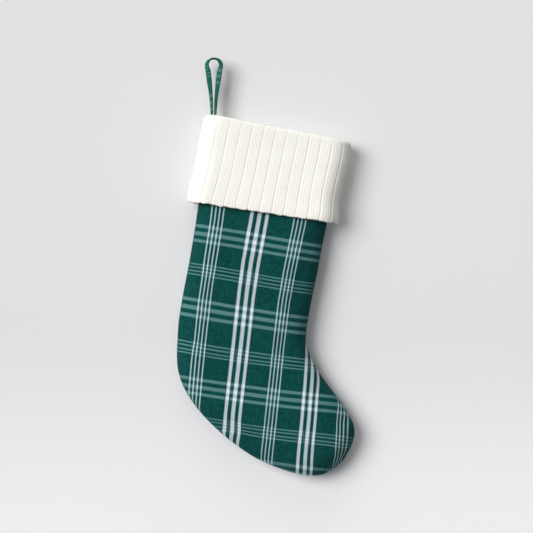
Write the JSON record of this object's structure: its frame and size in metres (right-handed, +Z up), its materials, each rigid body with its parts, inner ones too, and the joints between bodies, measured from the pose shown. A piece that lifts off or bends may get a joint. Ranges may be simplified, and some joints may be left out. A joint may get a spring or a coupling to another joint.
{
  "type": "hanging stocking",
  "caption": "Plaid padded stocking with a ribbed knit cuff and an open mouth, hung from a peg by a narrow fabric loop; the loop twists and the stocking swings under it",
  "frame": {"origin": "Inside top of the hanging loop, where a peg or hook carries it", "axes": "+Z up, +X towards the toe side as seen from the front, the front faces -Y and the wall side is +Y"},
  "size_m": [0.2479, 0.0518, 0.5848],
  "materials": {
    "plaid_fabric": "brushed cotton twill, dark green with white and grey-green plaid lines",
    "strap_fabric": "folded strip of the same green woven cotton",
    "rib_knit": "cream wide-rib knit, soft and matt",
    "cuff_backing": "plain cream woven backing",
    "lining_fabric": "plain off-white woven lining",
    "wadding": "white polyester wadding",
    "green_thread": "dark green polyester sewing thread",
    "cream_thread": "cream polyester sewing thread",
    "label_satin": "blank white satin label"
  },
  "bodies": {
    "loop_top": {"loop_crown": "strap_fabric"},
    "loop_lower": {"loop_legs": "strap_fabric"},
    "stocking": {"loop_tail": "strap_fabric", "loop_bar_tack": "green_thread", "knit_cuff": "rib_knit", "cuff_backing": "cuff_backing", "cuff_side_seam": "cream_thread", "cuff_hem_stitch": "cream_thread", "mouth_seam": "cream_thread", "front_panel": "plaid_fabric", "back_panel": "plaid_fabric", "panel_seam": "green_thread", "front_wadding": "wadding", "back_wadding": "wadding", "front_lining": "lining_fabric", "back_lining": "lining_fabric", "lining_seam": "cream_thread", "care_label": "label_satin"}
  },
  "joints": [
    {"name": "loop_twist", "type": "hinge", "parent": "loop_top", "child": "loop_lower", "pos_m": [0, 0, -0.024], "axis": [0, 0, 1], "range_deg": [-90, 90]},
    {"name": "stocking_swing", "type": "hinge", "parent": "loop_lower", "child": "stocking", "pos_m": [-0.0005, 0, -0.0801], "axis": [0, 1, 0], "range_deg": [-40, 40]}
  ]
}
